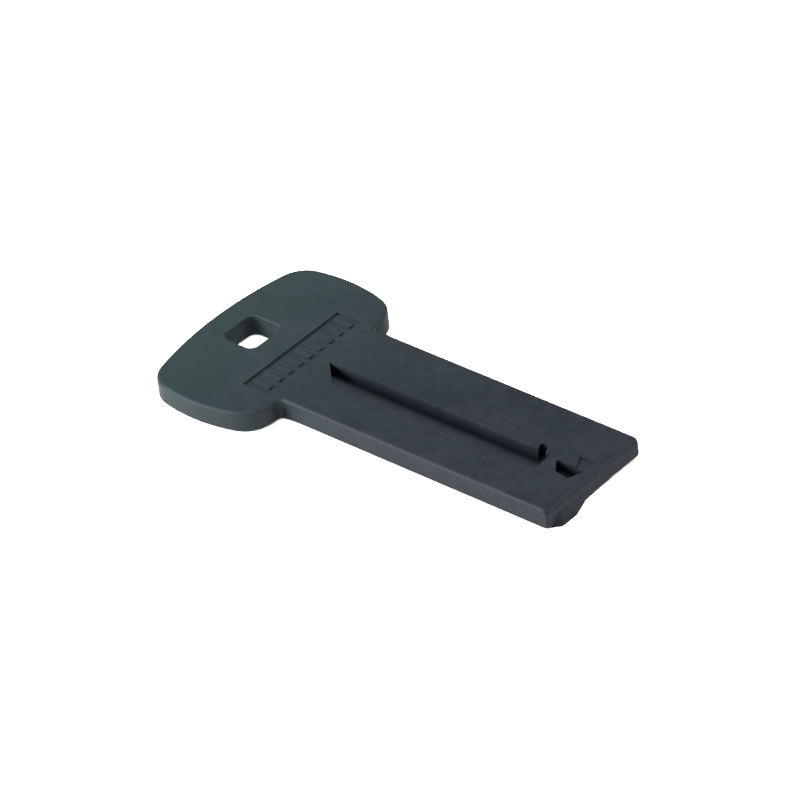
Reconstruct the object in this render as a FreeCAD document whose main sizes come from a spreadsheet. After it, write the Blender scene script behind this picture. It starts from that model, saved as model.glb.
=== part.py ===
"""Magnetic key blank: a flat moulded key with a wide bow, a ring hole and one warding groove.

The key lies flat, its underside on z = 0.  +X runs along the blade to the tip, +Y across the
blade, +Z up.  The origin is under the middle of the key's length and width.
"""
import FreeCAD, Part
import Sketcher

import math
import os

V = FreeCAD.Vector

SIZES = {
    "overall_length": 66.3,
    "thickness": 3.2,
    "blade_width": 19.0,
    "bow_length": 19.9,
    "bow_width": 32.7,
    "bow_end_radius": 54.0,
    "bow_side_radius": 24.5,
    "bow_corner_radius": 4.5,
    "root_radius": 0.8,
    "nose_radius": 0.9,
    "foot_reach": 0.8,
    "foot_height": 2.3,
    "foot_corner_radius": 1.0,
    "rim_radius": 0.5,
    "hole_length": 5.6,
    "hole_width": 6.2,
    "hole_corner_radius": 1.2,
    "hole_setback": 4.0,
    "hole_rim_radius": 0.25,
    "panel_width": 4.3,
    "panel_span": 19.3,
    "panel_setback": 1.9,
    "panel_depth": 0.3,
    "rib_height": 0.22,
    "rib_length": 2.9,
    "rib_thickness": 0.9,
    "rib_pitch": 2.05,
    "rib_count": 9,
    "groove_setback": 0.4,
    "groove_margin": 7.3,
    "groove_wall_offset": 0.3,
    "groove_depth": 1.9,
    "groove_floor": 0.4,
    "groove_lip_radius": 4.4,
    "hook_width": 1.3,
    "hook_reach": 1.4,
    "hook_setback": 0.7,
    "hook_lean": 0.8,
    "pocket_corner_radius": 0.4,
    "bridge_length": 1.1,
    "mouth_length": 4.8,
    "mouth_width": 2.1,
    "mouth_offset": 0.3,
    "mouth_lean": 1.6,
    "mouth_spread": 0.4,
    "mouth_depth": 1.7,
    "flare_length": 2.4,
    "flare_reach": 1.8,
    "flare_depth": 0.2,
}

# Places that several features share, worked out by the sheet
TIP = "(Sizes.overall_length / 2 - Sizes.foot_reach)"
BOW_END = "(-Sizes.overall_length / 2)"
SHOULDER = "(Sizes.bow_length - Sizes.overall_length / 2)"
BOW_MIDDLE = "(Sizes.bow_length / 2 - Sizes.overall_length / 2)"
HALF_BLADE = "(Sizes.blade_width / 2)"
HOLE_START = "(%s + Sizes.hole_setback)" % BOW_END
PANEL_END = "(%s - Sizes.panel_setback)" % SHOULDER
PANEL_START = "(%s - Sizes.panel_width)" % PANEL_END
PANEL_FLOOR = "(Sizes.thickness - Sizes.panel_depth)"
# Height of the bow's side above the key's middle line, where it meets the front
SIDE_HEIGHT = (
    "(Sizes.bow_width / 2 - Sizes.bow_side_radius"
    " + sqrt(Sizes.bow_side_radius ^ 2 - (Sizes.bow_length / 2) ^ 2))"
)
# The front is short where the bow is narrow, so its corners are rounded by what it can carry
FRONT_EDGE = "(%s - %s - Sizes.root_radius)" % (SIDE_HEIGHT, HALF_BLADE)
FRONT_RADIUS = "min(Sizes.bow_corner_radius; %s / 0.8)" % FRONT_EDGE
GROOVE_START = "(%s + Sizes.groove_setback)" % SHOULDER
GROOVE_END = "(%s - Sizes.groove_margin)" % TIP
GROOVE_LENGTH = "(%s - %s)" % (GROOVE_END, GROOVE_START)
HOOK_END = "(%s - Sizes.hook_setback)" % GROOVE_END
HOOK_START = "(%s - Sizes.hook_width)" % HOOK_END
MOUTH_START = "(%s + Sizes.bridge_length)" % GROOVE_END
MOUTH_END = "(%s + Sizes.mouth_length)" % MOUTH_START
FLARE_START = "(%s - Sizes.flare_length)" % MOUTH_END

doc = FreeCAD.newDocument("MagneticKeyBlank")
sheet = doc.addObject("Spreadsheet::Sheet", "Sizes")
for row, (alias, number) in enumerate(SIZES.items(), start=1):
    sheet.set("A%d" % row, alias)
    sheet.set("B%d" % row, str(number))
    sheet.setAlias("B%d" % row, alias)
doc.recompute()

body = doc.addObject("PartDesign::Body", "KeyBody")
body.Label = "key_body"


def value(expression):
    """The number that an expression on the sheet gives."""
    return float(body.evalExpression(expression))


def new_sketch(name, role, offset="0"):
    """A sketch on one of the body's origin planes, moved along that plane's normal."""
    plane = [item for item in body.Origin.OriginFeatures if item.Role == role][0]
    sketch = body.newObject("Sketcher::SketchObject", name)
    sketch.AttachmentSupport = [(plane, "")]
    sketch.MapMode = "FlatFace"
    sketch.setExpression("AttachmentOffset.Base.z", offset)
    return sketch


def drive(sketch, kind, places, expression):
    """A dimension of the sketch, bound to an expression on the sheet."""
    index = sketch.addConstraint(Sketcher.Constraint(kind, *places, value(expression)))
    name = "size_%d" % index
    sketch.renameConstraint(index, name)
    sketch.setExpression("Constraints." + name, expression)


def drive_point(sketch, edge, end, across, along):
    """Hold an edge's end, or an arc's centre, at its place from the sketch's origin."""
    drive(sketch, "DistanceX", (-1, 1, edge, end), across)
    drive(sketch, "DistanceY", (-1, 1, edge, end), along)


def draw_polygon(sketch, corners):
    """A closed loop of straight lines through corners given as expressions."""
    points = [V(value(across), value(along), 0) for across, along in corners]
    count = len(points)
    for index in range(count):
        sketch.addGeometry(Part.LineSegment(points[index], points[(index + 1) % count]), False)
    for index, (across, along) in enumerate(corners):
        following = (index + 1) % count
        sketch.addConstraint(Sketcher.Constraint("Coincident", index, 2, following, 1))
        drive_point(sketch, index, 1, across, along)


def draw_rectangle(sketch, left, right, low, high):
    draw_polygon(sketch, [(left, low), (right, low), (right, high), (left, high)])


def extrude(kind, name, sketch, length, midplane=False):
    """Pad or pocket a sketch, and make sure that it adds or removes material."""
    before = body.Shape.Volume if body.Tip else 0.0
    feature = body.newObject("PartDesign::" + kind, name)
    feature.Profile = sketch
    feature.Midplane = midplane
    feature.setExpression("Length", length)
    doc.recompute()
    gained = feature.Shape.Volume - before
    if (kind == "Pad") != (gained > 0):
        raise RuntimeError(name + " works in the wrong direction")
    return feature


def round_edges(name, radius, wanted):
    """Round those edges of the body's last feature that a test picks."""
    base = body.Tip
    names = ["Edge%d" % n for n, edge in enumerate(base.Shape.Edges, start=1) if wanted(edge)]
    if not names:
        raise RuntimeError(name + " finds no edge to round")
    feature = body.newObject("PartDesign::Fillet", name)
    feature.Base = (base, names)
    feature.setExpression("Radius", radius)
    doc.recompute()
    return feature


def near(number, expression):
    return abs(number - value(expression)) < 1e-3


def is_upright(edge):
    box = edge.BoundBox
    return box.ZLength > 0.1 and box.XLength < 1e-4 and box.YLength < 1e-4


def lies_at(edge, height):
    return near(edge.BoundBox.ZMin, height) and near(edge.BoundBox.ZMax, height)


def add_bow():
    """The bow: a bulging end, two bulging sides and a straight front at the shoulder."""
    sketch = new_sketch("BowOutline", "XY_Plane")
    end_radius = value("Sizes.bow_end_radius")
    side_radius = value("Sizes.bow_side_radius")
    half_width = value("Sizes.bow_width / 2")
    end_centre = V(value(BOW_END) + end_radius, 0, 0)
    side_centre = V(value(BOW_MIDDLE), half_width - side_radius, 0)
    front = value(SHOULDER)
    reach = front - side_centre.x
    front_corner = V(front, side_centre.y + math.sqrt(side_radius ** 2 - reach ** 2), 0)
    guess = V(value(BOW_END) + 2, half_width - 2, 0)

    def turned(centre, point):
        return math.atan2(point.y - centre.y, point.x - centre.x)

    def arc(centre, radius, start, end):
        circle = Part.Circle(centre, V(0, 0, 1), radius)
        return Part.ArcOfCircle(circle, turned(centre, start), turned(centre, end))

    def mirrored(point):
        return V(point.x, -point.y, 0)

    full_turn = 2 * math.pi
    circle = Part.Circle(end_centre, V(0, 0, 1), end_radius)
    guess_turn = turned(end_centre, guess)
    sketch.addGeometry(Part.ArcOfCircle(circle, guess_turn, full_turn - guess_turn), False)
    near_side = arc(mirrored(side_centre), side_radius, mirrored(guess), mirrored(front_corner))
    sketch.addGeometry(near_side, False)
    sketch.addGeometry(Part.LineSegment(mirrored(front_corner), front_corner), False)
    sketch.addGeometry(arc(side_centre, side_radius, front_corner, guess), False)
    for edge in range(4):
        sketch.addConstraint(Sketcher.Constraint("Coincident", edge, 2, (edge + 1) % 4, 1))
    drive(sketch, "Radius", (0,), "Sizes.bow_end_radius")
    drive(sketch, "Radius", (1,), "Sizes.bow_side_radius")
    drive(sketch, "Radius", (3,), "Sizes.bow_side_radius")
    drive_point(sketch, 0, 3, BOW_END + " + Sizes.bow_end_radius", "0")
    drive_point(sketch, 1, 3, BOW_MIDDLE, "Sizes.bow_side_radius - Sizes.bow_width / 2")
    drive_point(sketch, 3, 3, BOW_MIDDLE, "Sizes.bow_width / 2 - Sizes.bow_side_radius")
    drive(sketch, "DistanceX", (-1, 1, 2, 1), SHOULDER)
    drive(sketch, "DistanceX", (-1, 1, 2, 2), SHOULDER)
    extrude("Pad", "Bow", sketch, "Sizes.thickness")


def add_blade():
    """The blade's side profile with its rounded nose, spread over the blade's width."""
    sketch = new_sketch("BladeProfile", "XZ_Plane")
    radius = value("Sizes.nose_radius")
    tip = value(TIP)
    top = value("Sizes.thickness")
    start = value(BOW_MIDDLE)
    low_centre = V(tip - radius, radius, 0)
    high_centre = V(tip - radius, top - radius, 0)
    normal = V(0, 0, 1)
    sketch.addGeometry(Part.LineSegment(V(start, 0, 0), V(tip - radius, 0, 0)), False)
    low_arc = Part.ArcOfCircle(Part.Circle(low_centre, normal, radius), -math.pi / 2, 0)
    sketch.addGeometry(low_arc, False)
    sketch.addGeometry(Part.LineSegment(V(tip, radius, 0), V(tip, top - radius, 0)), False)
    high_arc = Part.ArcOfCircle(Part.Circle(high_centre, normal, radius), 0, math.pi / 2)
    sketch.addGeometry(high_arc, False)
    sketch.addGeometry(Part.LineSegment(V(tip - radius, top, 0), V(start, top, 0)), False)
    sketch.addGeometry(Part.LineSegment(V(start, top, 0), V(start, 0, 0)), False)
    for edge in range(6):
        sketch.addConstraint(Sketcher.Constraint("Coincident", edge, 2, (edge + 1) % 6, 1))
    drive_point(sketch, 0, 1, BOW_MIDDLE, "0")
    drive_point(sketch, 1, 1, TIP + " - Sizes.nose_radius", "0")
    drive_point(sketch, 2, 1, TIP, "Sizes.nose_radius")
    drive_point(sketch, 3, 1, TIP, "Sizes.thickness - Sizes.nose_radius")
    drive_point(sketch, 4, 1, TIP + " - Sizes.nose_radius", "Sizes.thickness")
    drive_point(sketch, 5, 1, BOW_MIDDLE, "Sizes.thickness")
    drive(sketch, "Radius", (1,), "Sizes.nose_radius")
    drive(sketch, "Radius", (3,), "Sizes.nose_radius")
    extrude("Pad", "Blade", sketch, "Sizes.blade_width", midplane=True)


def round_outline():
    """The bow's four corners, the two inner corners at the shoulder, and every outer rim."""

    def is_outside_blade(edge):
        return is_upright(edge) and abs(edge.BoundBox.YMin) > value(HALF_BLADE) + 0.1

    def is_end_corner(edge):
        return is_outside_blade(edge) and edge.BoundBox.XMin < value(BOW_MIDDLE)

    def is_front_corner(edge):
        return is_outside_blade(edge) and near(edge.BoundBox.XMin, SHOULDER)

    def is_root(edge):
        at_side = near(abs(edge.BoundBox.YMin), HALF_BLADE)
        return is_upright(edge) and at_side and near(edge.BoundBox.XMin, SHOULDER)

    def is_rim(edge):
        at_nose = edge.BoundBox.XLength < 1e-4 and edge.BoundBox.XMin > 0
        on_face = lies_at(edge, "0") or lies_at(edge, "Sizes.thickness")
        return on_face and not at_nose

    round_edges("EndCorners", "Sizes.bow_corner_radius", is_end_corner)
    round_edges("FrontCorners", FRONT_RADIUS, is_front_corner)
    round_edges("Roots", "Sizes.root_radius", is_root)
    round_edges("Rims", "Sizes.rim_radius", is_rim)


def cut_ring_hole():
    """The rounded square hole for a key ring, right through the bow."""
    sketch = new_sketch("HoleOutline", "XY_Plane", "Sizes.thickness")
    end = HOLE_START + " + Sizes.hole_length"
    draw_rectangle(sketch, HOLE_START, end, "-Sizes.hole_width / 2", "Sizes.hole_width / 2")
    extrude("Pocket", "RingHole", sketch, "Sizes.thickness")
    inside = value(HOLE_START + " + Sizes.hole_length / 2")
    reach = value("Sizes.hole_length / 2") + 0.1

    def is_hole_corner(edge):
        return is_upright(edge) and abs(edge.BoundBox.XMin - inside) < reach

    def is_hole_rim(edge):
        box = edge.BoundBox
        low = box.XMin > inside - reach and box.XMax < inside + reach
        across = box.YMax < value("Sizes.hole_width / 2") + 0.1
        return (lies_at(edge, "0") or lies_at(edge, "Sizes.thickness")) and low and across

    round_edges("HoleCorners", "Sizes.hole_corner_radius", is_hole_corner)
    round_edges("HoleRims", "Sizes.hole_rim_radius", is_hole_rim)


def add_panel():
    """A shallow panel across the bow, with a row of plain low ribs on its floor."""
    sketch = new_sketch("PanelOutline", "XY_Plane", "Sizes.thickness")
    draw_rectangle(sketch, PANEL_START, PANEL_END, "-Sizes.panel_span / 2", "Sizes.panel_span / 2")
    extrude("Pocket", "Panel", sketch, "Sizes.panel_depth")
    rib = new_sketch("RibOutline", "XY_Plane", PANEL_FLOOR)
    middle = "(%s + Sizes.panel_width / 2)" % PANEL_START
    first = "(-Sizes.rib_pitch * (Sizes.rib_count - 1) / 2)"
    draw_rectangle(
        rib,
        middle + " - Sizes.rib_length / 2",
        middle + " + Sizes.rib_length / 2",
        first + " - Sizes.rib_thickness / 2",
        first + " + Sizes.rib_thickness / 2",
    )
    first_rib = extrude("Pad", "Rib", rib, "Sizes.rib_height")
    row = body.newObject("PartDesign::LinearPattern", "RibRow")
    row.Originals = [first_rib]
    row.Direction = (rib, ["V_Axis"])
    row.Mode = "Spacing"
    row.setExpression("Offset", "Sizes.rib_pitch")
    row.setExpression("Occurrences", "Sizes.rib_count")
    body.Tip = row
    doc.recompute()


def cut_groove():
    """The warding groove: a steep far wall, a narrow floor, a long rolled near lip, a slant start."""
    sketch = new_sketch("GrooveSection", "YZ_Plane", GROOVE_END)
    depth = value("Sizes.groove_depth")
    radius = value("Sizes.groove_lip_radius")
    top = value("Sizes.thickness")
    wall = value("Sizes.groove_wall_offset")
    lip_reach = "sqrt(2 * Sizes.groove_lip_radius * Sizes.groove_depth - Sizes.groove_depth ^ 2)"
    floor_end = "(Sizes.groove_wall_offset - Sizes.groove_floor)"
    lip_end = "(%s - %s)" % (floor_end, lip_reach)
    floor_point = V(value(floor_end), top - depth, 0)
    lip_point = V(value(lip_end), top, 0)
    centre = V(lip_point.x, top - radius, 0)
    start_turn = math.atan2(floor_point.y - centre.y, floor_point.x - centre.x)
    sketch.addGeometry(Part.LineSegment(V(wall, top, 0), V(wall, top - depth, 0)), False)
    sketch.addGeometry(Part.LineSegment(V(wall, top - depth, 0), floor_point), False)
    circle = Part.Circle(centre, V(0, 0, 1), radius)
    sketch.addGeometry(Part.ArcOfCircle(circle, start_turn, math.pi / 2), False)
    sketch.addGeometry(Part.LineSegment(lip_point, V(wall, top, 0)), False)
    for edge, end, following, start in ((0, 2, 1, 1), (1, 2, 2, 1), (2, 2, 3, 1), (3, 2, 0, 1)):
        sketch.addConstraint(Sketcher.Constraint("Coincident", edge, end, following, start))
    drive_point(sketch, 0, 1, "Sizes.groove_wall_offset", "Sizes.thickness")
    drive_point(sketch, 1, 1, "Sizes.groove_wall_offset", "Sizes.thickness - Sizes.groove_depth")
    drive_point(sketch, 2, 1, floor_end, "Sizes.thickness - Sizes.groove_depth")
    drive_point(sketch, 3, 1, lip_end, "Sizes.thickness")
    drive(sketch, "Radius", (2,), "Sizes.groove_lip_radius")
    extrude("Pocket", "Groove", sketch, GROOVE_LENGTH)
    corner = new_sketch("GrooveCorner", "XY_Plane", "Sizes.thickness - Sizes.groove_depth")
    reach = "(Sizes.groove_wall_offset - %s)" % lip_end
    draw_polygon(
        corner,
        [
            (GROOVE_START, "Sizes.groove_wall_offset"),
            (GROOVE_START, lip_end),
            (GROOVE_START + " + " + reach, lip_end),
        ],
    )
    extrude("Pad", "GrooveStart", corner, "Sizes.groove_depth")


def cut_hook():
    """The short leaning leg that turns off the groove's far wall near its end."""
    sketch = new_sketch("HookOutline", "XY_Plane", "Sizes.thickness")
    far = "Sizes.groove_wall_offset + Sizes.hook_reach"
    inner = "Sizes.groove_wall_offset - Sizes.groove_floor"
    draw_polygon(
        sketch,
        [
            (HOOK_START, inner),
            (HOOK_END, inner),
            (HOOK_END + " - Sizes.hook_lean", far),
            (HOOK_START + " - Sizes.hook_lean", far),
        ],
    )
    extrude("Pocket", "Hook", sketch, "Sizes.groove_depth")

    def is_hook_corner(edge):
        return is_upright(edge) and near(edge.BoundBox.YMin, far)

    round_edges("HookCorners", "Sizes.pocket_corner_radius", is_hook_corner)


def cut_mouth():
    """The short pocket in line with the groove behind the nose, and its shallow flare."""
    sketch = new_sketch("MouthOutline", "XY_Plane", "Sizes.thickness")
    wall = "(Sizes.groove_wall_offset - Sizes.mouth_offset)"
    low = "(%s - Sizes.mouth_width)" % wall
    draw_polygon(
        sketch,
        [
            (MOUTH_START, wall),
            (MOUTH_START + " + Sizes.mouth_lean", low),
            (MOUTH_END + " - Sizes.mouth_lean / 2", low + " - Sizes.mouth_spread"),
            (MOUTH_END, wall),
        ],
    )
    extrude("Pocket", "Mouth", sketch, "Sizes.mouth_depth")

    def is_mouth_corner(edge):
        inside = edge.BoundBox.XMin > value(MOUTH_START) - 0.1
        return is_upright(edge) and inside and abs(edge.BoundBox.YMin) < value("Sizes.blade_width / 4")

    round_edges("MouthCorners", "Sizes.pocket_corner_radius", is_mouth_corner)
    flare = new_sketch("FlareOutline", "XY_Plane", "Sizes.thickness")
    middle = "Sizes.groove_wall_offset - Sizes.mouth_width / 2"
    far = "Sizes.groove_wall_offset + Sizes.flare_reach"
    draw_polygon(
        flare,
        [
            (MOUTH_END, middle),
            (MOUTH_END, far),
            (FLARE_START, far),
            (FLARE_START + " + Sizes.flare_length / 2", middle),
        ],
    )
    extrude("Pocket", "Flare", flare, "Sizes.flare_depth")


def add_foot():
    """The uneven lip that swells from the tip's lower edge beside one corner."""
    sketch = new_sketch("FootOutline", "XY_Plane")
    back = TIP + " - 2 * Sizes.nose_radius"
    swell = TIP + " + Sizes.foot_reach"
    draw_polygon(
        sketch,
        [
            (back, "-0.93 * " + HALF_BLADE),
            (TIP + " - Sizes.nose_radius / 2", "-0.93 * " + HALF_BLADE),
            (swell, "-0.8 * " + HALF_BLADE),
            (swell, "-0.5 * " + HALF_BLADE),
            (TIP + " - Sizes.nose_radius / 3", "-0.15 * " + HALF_BLADE),
            (TIP + " - Sizes.nose_radius / 2", "0.4 * " + HALF_BLADE),
            (back, "0.4 * " + HALF_BLADE),
        ],
    )
    foot = extrude("Pad", "Foot", sketch, "Sizes.foot_height")
    foot.setExpression("TaperAngle", "-atan(1.2 * Sizes.foot_reach / Sizes.foot_height)")
    doc.recompute()

    def is_swell_corner(edge):
        low = min(edge.Vertexes, key=lambda corner: corner.Z)
        high = max(edge.Vertexes, key=lambda corner: corner.Z)
        return high.Z > low.Z + 0.5 and near(low.Z, "0") and near(low.X, swell)

    round_edges("FootCorners", "Sizes.foot_corner_radius", is_swell_corner)


def check_objects():
    for item in doc.Objects:
        if {"Invalid", "Error"} & set(item.State):
            raise RuntimeError("%s failed: %s" % (item.Name, item.State))
    shape = body.Shape
    if shape.isNull() or not shape.isValid() or len(shape.Solids) != 1:
        raise RuntimeError("the key isn't one valid solid")


add_bow()
add_blade()
round_outline()
cut_ring_hole()
add_panel()
cut_groove()
cut_hook()
cut_mouth()
add_foot()
doc.recompute()
check_objects()

os.makedirs("parts", exist_ok=True)
body.Shape.exportStep("parts/%s.step" % body.Label)
box = body.Shape.BoundBox
print("%s: %.2f x %.2f x %.2f mm" % (body.Label, box.XLength, box.YLength, box.ZLength))
print("volume %.1f mm3" % body.Shape.Volume)
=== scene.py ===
# %% [markdown]
# # A magnetic key blank, lying on a pale table
#
# The key is one flat moulding of dark charcoal plastic, 66 mm long. Its form is finished
# before this file starts: the imported model already has the bow, the ring hole, the ribbed
# panel and the warding groove. What is left for Blender is how the plastic looks, the light,
# the floor and the camera.
#
# The first cell loads that model as a fixed frame. It is never moved or reshaped here.

# %% Load the key
import math

import bpy
from mathutils import Matrix, Vector

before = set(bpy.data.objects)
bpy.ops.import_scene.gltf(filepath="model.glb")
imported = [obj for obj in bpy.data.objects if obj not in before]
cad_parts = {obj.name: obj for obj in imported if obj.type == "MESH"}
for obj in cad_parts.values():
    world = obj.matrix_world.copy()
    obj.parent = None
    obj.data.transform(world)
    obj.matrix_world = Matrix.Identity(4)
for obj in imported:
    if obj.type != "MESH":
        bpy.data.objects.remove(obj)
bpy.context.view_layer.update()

MILLIMETRE = 0.001

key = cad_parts["key_body"]

# %% [markdown]
# ## Writing shaders as sums
#
# A plastic that looks real mixes several soft patterns, and a node tree for that is hard to
# read when every node is made and linked by hand. A small class can wrap a socket instead, so
# that `1 - grain * 0.4` adds the Math nodes by itself. Colours don't go that way, because a
# Math node turns them grey.

# %% A shader value that can be added and multiplied
class Field:
    """One output of a shader node: a plain value that Python's operators can work on."""

    def __init__(self, graph, socket):
        self.graph = graph
        self.socket = socket

    def math(self, operation, *values):
        inputs = dict(enumerate(values))
        return self.graph.node("ShaderNodeMath", inputs, operation=operation)["Value"]

    def __add__(self, other):
        return self.math("ADD", self, other)

    def __sub__(self, other):
        return self.math("SUBTRACT", self, other)

    def __rsub__(self, other):
        return self.math("SUBTRACT", other, self)

    def __mul__(self, other):
        return self.math("MULTIPLY", self, other)

    def __abs__(self):
        return self.math("ABSOLUTE", self)

    __radd__ = __add__
    __rmul__ = __mul__


class Outputs:
    """A node whose outputs are read by name, or by number where a name isn't enough."""

    def __init__(self, graph, node):
        self.graph = graph
        self.node = node

    def __getitem__(self, name):
        return Field(self.graph, self.node.outputs[name])


print("operators", "+ - * abs")

# %% [markdown]
# ## One method for every other node
#
# Each remaining node could have a helper of its own, but they all need the same three things:
# a type, its settings, and a value or a link for each socket. So one method makes them all. The
# settings come first, because some of them change which sockets a node has. Four short methods
# stand on it, for the noise, the ramp, the colour mix and the shader that this file uses.

# %% A material's node tree
MIX_COLOUR_A = 6
MIX_COLOUR_B = 7
MIX_COLOUR_RESULT = 2


class Graph:
    """The node tree of one material."""

    def __init__(self, name):
        self.material = bpy.data.materials.new(name)
        self.material.use_nodes = True
        self.tree = self.material.node_tree
        self.tree.nodes.clear()

    def node(self, kind, inputs, **settings):
        """Add a node, set its settings first, then fill or link its sockets."""
        node = self.tree.nodes.new(kind)
        for name, setting in settings.items():
            setattr(node, name, setting)
        for name, given in inputs.items():
            if isinstance(given, Field):
                self.tree.links.new(given.socket, node.inputs[name])
            else:
                node.inputs[name].default_value = given
        return Outputs(self, node)

    def noise(self, place, per_metre, detail, roughness):
        inputs = {"Vector": place, "Scale": per_metre, "Detail": detail, "Roughness": roughness}
        return self.node("ShaderNodeTexNoise", inputs)["Fac"]

    def ramp(self, value, start, end, interpolation="LINEAR"):
        """0 at the start and 1 at the end, held outside them."""
        inputs = {"Value": value, "From Min": start, "From Max": end}
        settings = {"interpolation_type": interpolation}
        return self.node("ShaderNodeMapRange", inputs, **settings)["Result"]

    def mix_colours(self, amount, first, second):
        inputs = {"Factor": amount, MIX_COLOUR_A: first, MIX_COLOUR_B: second}
        return self.node("ShaderNodeMix", inputs, data_type="RGBA")[MIX_COLOUR_RESULT]

    def finish(self, inputs):
        """Close the tree with a Principled shader, and hand over the material."""
        surface = self.node("ShaderNodeBsdfPrincipled", inputs)["BSDF"]
        self.node("ShaderNodeOutputMaterial", {"Surface": surface})
        print("material", self.material.name, "with", len(self.tree.nodes), "nodes")
        return self.material


# %% [markdown]
# ## Patterns in the plastic
#
# The real key's skin is fine spark-eroded matte: light spreads over it as a soft sheen, and
# nothing mirrors. One flat grey would look like a drawing, because handling leaves faint
# cloudy patches.
#
# A picture could hold all that, but it would blur close up. Three noises do the work instead,
# at sizes taken from the object itself: clouds of about a centimetre, a mottle of one or two
# millimetres, and a grain of about a tenth of a millimetre that only bends the light.

# %% Clouds, mottle and grain
CLOUDS_PER_METRE = 110.0
MOTTLES_PER_METRE = 620.0
GRAINS_PER_METRE = 7000.0


def plastic_patterns(graph, place):
    clouds = graph.noise(place, CLOUDS_PER_METRE, detail=4.0, roughness=0.55)
    mottle = graph.noise(place, MOTTLES_PER_METRE, detail=3.0, roughness=0.6)
    grain = graph.noise(place, GRAINS_PER_METRE, detail=2.0, roughness=0.6)
    return clouds, mottle, grain


for pattern, per_metre in (("clouds", CLOUDS_PER_METRE), ("mottle", MOTTLES_PER_METRE),
                           ("grain", GRAINS_PER_METRE)):
    print(pattern, round(1 / per_metre / MILLIMETRE, 2), "mm across")

# %% [markdown]
# ## Colour, and the darker groove
#
# The key is one charcoal all through. The bow is painted lighter and a touch greener and the
# blade darker and bluer, as painted light that falls off from the bow toward the tip, so one
# colour slides into the other on both sides of the shoulder. The clouds and the mottle mix in a
# slightly paler, handled tone.
#
# The warding groove is painted darker, as painted shade in the recess. A second material on its
# faces could show that, with a hard edge all round. A mask made from the place of each point
# fades in instead: the painted shade grows with depth below the top face, and it holds only
# inside the blade.

# %% Charcoal colour
# painted light: the bow is painted lighter and greener than the blade, for light that falls off
# toward the tip
BOW_PAINTED_LIGHT_COLOUR = (0.0082, 0.0142, 0.0146, 1.0)
BLADE_PAINTED_FALLOFF_COLOUR = (0.0050, 0.0068, 0.0096, 1.0)
WORN_COLOUR = (0.021, 0.024, 0.029, 1.0)
SHOULDER_X = -13.25 * MILLIMETRE
BLEND_LENGTH = 24.0 * MILLIMETRE
WEAR_START = 0.44
CLOUD_WEAR = 0.4
MOTTLE_WEAR = 0.45

# painted shade: the darker colour of the warding groove, stronger deeper down
GROOVE_PAINTED_SHADE_COLOUR = (0.0022, 0.0032, 0.0050, 1.0)
TOP_Z = 3.2 * MILLIMETRE
GROOVE_SHADE_DEPTH = 0.9 * MILLIMETRE
GROOVE_HALF_WIDTH = 8.0 * MILLIMETRE
GROOVE_END_X = 31.0 * MILLIMETRE
MASK_EDGE = 0.1 * MILLIMETRE


# painted shade in the groove: 1 deep in it, 0 on the top face, past the tip and outside the
# blade
def groove_painted_shade_mask(graph, along, across, height):
    depth = graph.ramp(height, TOP_Z, TOP_Z - GROOVE_SHADE_DEPTH)
    within_width = graph.ramp(abs(across), GROOVE_HALF_WIDTH + MASK_EDGE, GROOVE_HALF_WIDTH)
    past_shoulder = graph.ramp(along, SHOULDER_X, SHOULDER_X + MASK_EDGE)
    before_tip = graph.ramp(along, GROOVE_END_X + MASK_EDGE, GROOVE_END_X)
    return depth * within_width * past_shoulder * before_tip


def charcoal_colour(graph, place, clouds, mottle):
    parts = graph.node("ShaderNodeSeparateXYZ", {"Vector": place})
    blend_start, blend_end = SHOULDER_X - BLEND_LENGTH, SHOULDER_X + BLEND_LENGTH
    # painted light fading from the bow to the blade along the key
    painted_light_falloff = graph.ramp(parts["X"], blend_start, blend_end, "SMOOTHSTEP")
    painted_light_tone = graph.mix_colours(painted_light_falloff, BOW_PAINTED_LIGHT_COLOUR, BLADE_PAINTED_FALLOFF_COLOUR)
    wear = (clouds - WEAR_START) * CLOUD_WEAR + (mottle - WEAR_START) * MOTTLE_WEAR
    wear_and_painted_light = graph.mix_colours(wear, painted_light_tone, WORN_COLOUR)
    # painted shade mixed into the groove
    painted_groove_shade = groove_painted_shade_mask(graph, parts["X"], parts["Y"], parts["Z"])
    return graph.mix_colours(painted_groove_shade, wear_and_painted_light, GROOVE_PAINTED_SHADE_COLOUR)


print("colours meet at", round(SHOULDER_X / MILLIMETRE, 2), "mm")

# %% [markdown]
# ## The moulded surface
#
# Matte plastic scatters its sheen widely, so the roughness is high and wanders a little with
# the patterns. The grain is far too fine to model, so a Bump node tilts the surface by it.
#
# Solid plastic has an index of refraction near 1.5. The matte skin loses part of its sheen
# between its bumps, and a lower index stands in for that loss.

# %% Charcoal plastic
MATTE_ROUGHNESS = 0.58
PATTERN_MIDDLE = 0.5
CLOUD_ROUGHNESS = 0.12
MOTTLE_ROUGHNESS = 0.16
GRAIN_STRENGTH = 0.25
GRAIN_HEIGHT = 0.02 * MILLIMETRE
MATTE_SKIN_INDEX = 1.17


def charcoal_plastic():
    graph = Graph("charcoal_plastic")
    place = graph.node("ShaderNodeTexCoord", {})["Object"]
    clouds, mottle, grain = plastic_patterns(graph, place)
    uneven = (clouds - PATTERN_MIDDLE) * CLOUD_ROUGHNESS
    uneven_fine = (mottle - PATTERN_MIDDLE) * MOTTLE_ROUGHNESS
    bump = {"Height": grain, "Strength": GRAIN_STRENGTH, "Distance": GRAIN_HEIGHT}
    return graph.finish({
        "Base Color": charcoal_colour(graph, place, clouds, mottle),
        "Roughness": MATTE_ROUGHNESS + uneven + uneven_fine,
        "IOR": MATTE_SKIN_INDEX,
        "Normal": graph.node("ShaderNodeBump", bump)["Normal"],
    })


key.data.materials.clear()
key.data.materials.append(charcoal_plastic())

# %% [markdown]
# ## Floor
#
# The key lies on a plain white sheet. One large square is enough, because the light is bright
# enough to turn it into an even white in the picture.

# %% Floor
FLOOR_HALF = 3.0
FLOOR_COLOUR = (0.93, 0.93, 0.93, 1.0)
FLOOR_ROUGHNESS = 0.9

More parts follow.
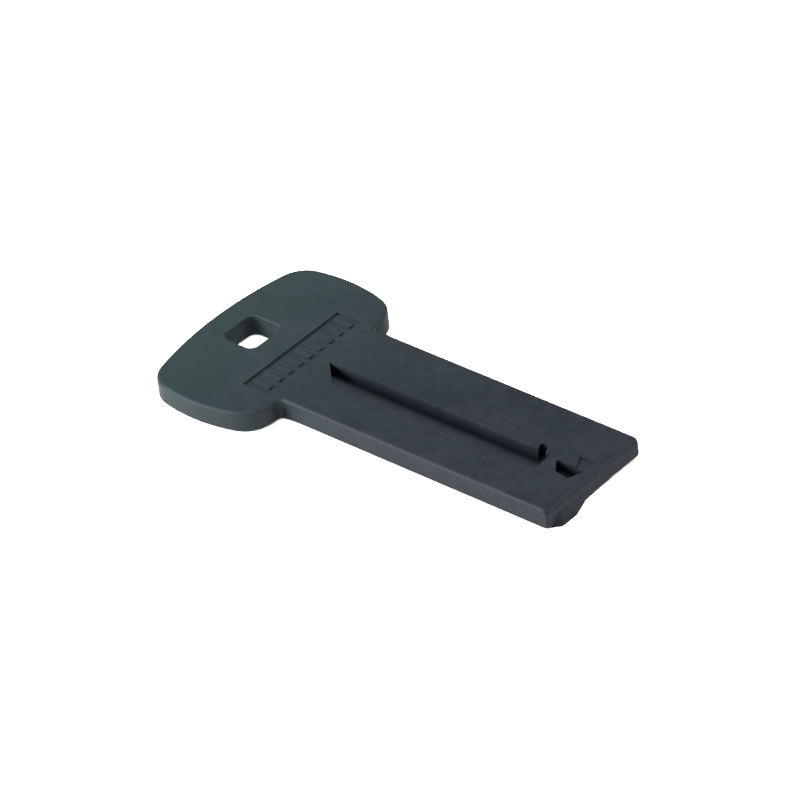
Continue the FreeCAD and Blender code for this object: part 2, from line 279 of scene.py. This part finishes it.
corners = [(-FLOOR_HALF, -FLOOR_HALF, 0), (FLOOR_HALF, -FLOOR_HALF, 0)]
corners += [(FLOOR_HALF, FLOOR_HALF, 0), (-FLOOR_HALF, FLOOR_HALF, 0)]
floor_mesh = bpy.data.meshes.new("floor")
floor_mesh.from_pydata(corners, [], [(0, 1, 2, 3)])
floor = bpy.data.objects.new("floor", floor_mesh)
bpy.context.scene.collection.objects.link(floor)
pale_floor = Graph("pale_floor")
floor.data.materials.append(
    pale_floor.finish({"Base Color": FLOOR_COLOUR, "Roughness": FLOOR_ROUGHNESS})
)
print("floor", 2 * FLOOR_HALF, "m wide")

# %% [markdown]
# ## Light
#
# In the photograph the blade's near side is the lightest face, its top is darker, and the
# tip's end is darker still. One lamp can't do that and also keep the floor white around the
# key, so three soft boxes share the work under a dim white sky.
#
# The overhead box keeps the floor white, also inside the ring hole. The strong low box on the
# left lights the near side. The small one behind on the right puts a soft line on the nose.

# %% Light
WHITE = (1.0, 1.0, 1.0, 1.0)
SKY_STRENGTH = 0.5

world = bpy.data.worlds.new("studio")
world.use_nodes = True
sky = world.node_tree.nodes["Background"]
sky.inputs["Color"].default_value = WHITE
sky.inputs["Strength"].default_value = SKY_STRENGTH
bpy.context.scene.world = world


def soft_box(name, place, size, power):
    """A square area light that looks at the key: metres and watts."""
    lamp = bpy.data.lights.new(name, "AREA")
    lamp.size = size
    lamp.energy = power
    lamp_object = bpy.data.objects.new(name, lamp)
    bpy.context.scene.collection.objects.link(lamp_object)
    lamp_object.location = place
    lamp_object.rotation_mode = "QUATERNION"
    lamp_object.rotation_quaternion = Vector(place).to_track_quat("Z", "Y")
    print(name, round(Vector(place).length, 2), "m from the key")


soft_box("overhead_box", place=(0.02, -0.12, 0.80), size=0.6, power=9.5)
soft_box("left_box", place=(-0.44, -0.58, 0.36), size=0.4, power=31.5)
soft_box("back_right_box", place=(0.47, 0.40, 0.45), size=0.3, power=7.5)

# %% [markdown]
# ## Camera
#
# The photograph was taken from a good way off with a long lens: the blade's two edges run
# almost parallel. The camera stands toward the tip and the near side, and it leans a little to
# one side. Its place could be typed in as a point, but a direction, a lean and a distance are
# easier to compare with the photograph.

# %% Camera
AZIMUTH = math.radians(44.2)
ELEVATION = math.radians(35.73)
LEAN = math.radians(-6.86)
DISTANCE = 792.8 * MILLIMETRE
AIM = Vector((-2.43, 2.07, 0.0)) * MILLIMETRE
SENSOR_WIDTH = 36.0
FOCAL_LENGTH = 270.0
NEAREST = 0.05
FARTHEST = 20.0

back = Vector((
    math.sin(AZIMUTH) * math.cos(ELEVATION),
    -math.cos(AZIMUTH) * math.cos(ELEVATION),
    math.sin(ELEVATION),
))
level = Vector((0, 0, 1)).cross(back).normalized()
upward = back.cross(level)
right = math.cos(LEAN) * level + math.sin(LEAN) * upward
up = math.cos(LEAN) * upward - math.sin(LEAN) * level

camera_data = bpy.data.cameras.new("camera")
camera_data.sensor_width = SENSOR_WIDTH
camera_data.lens = FOCAL_LENGTH
camera_data.clip_start = NEAREST
camera_data.clip_end = FARTHEST
camera = bpy.data.objects.new("camera", camera_data)
bpy.context.scene.collection.objects.link(camera)
turn = Matrix((right, up, back)).transposed().to_4x4()
camera.matrix_world = Matrix.Translation(AIM + back * DISTANCE) @ turn
bpy.context.scene.camera = camera
bpy.context.scene.view_settings.view_transform = "Standard"
print("camera at", [round(side, 3) for side in camera.matrix_world.translation], "m")
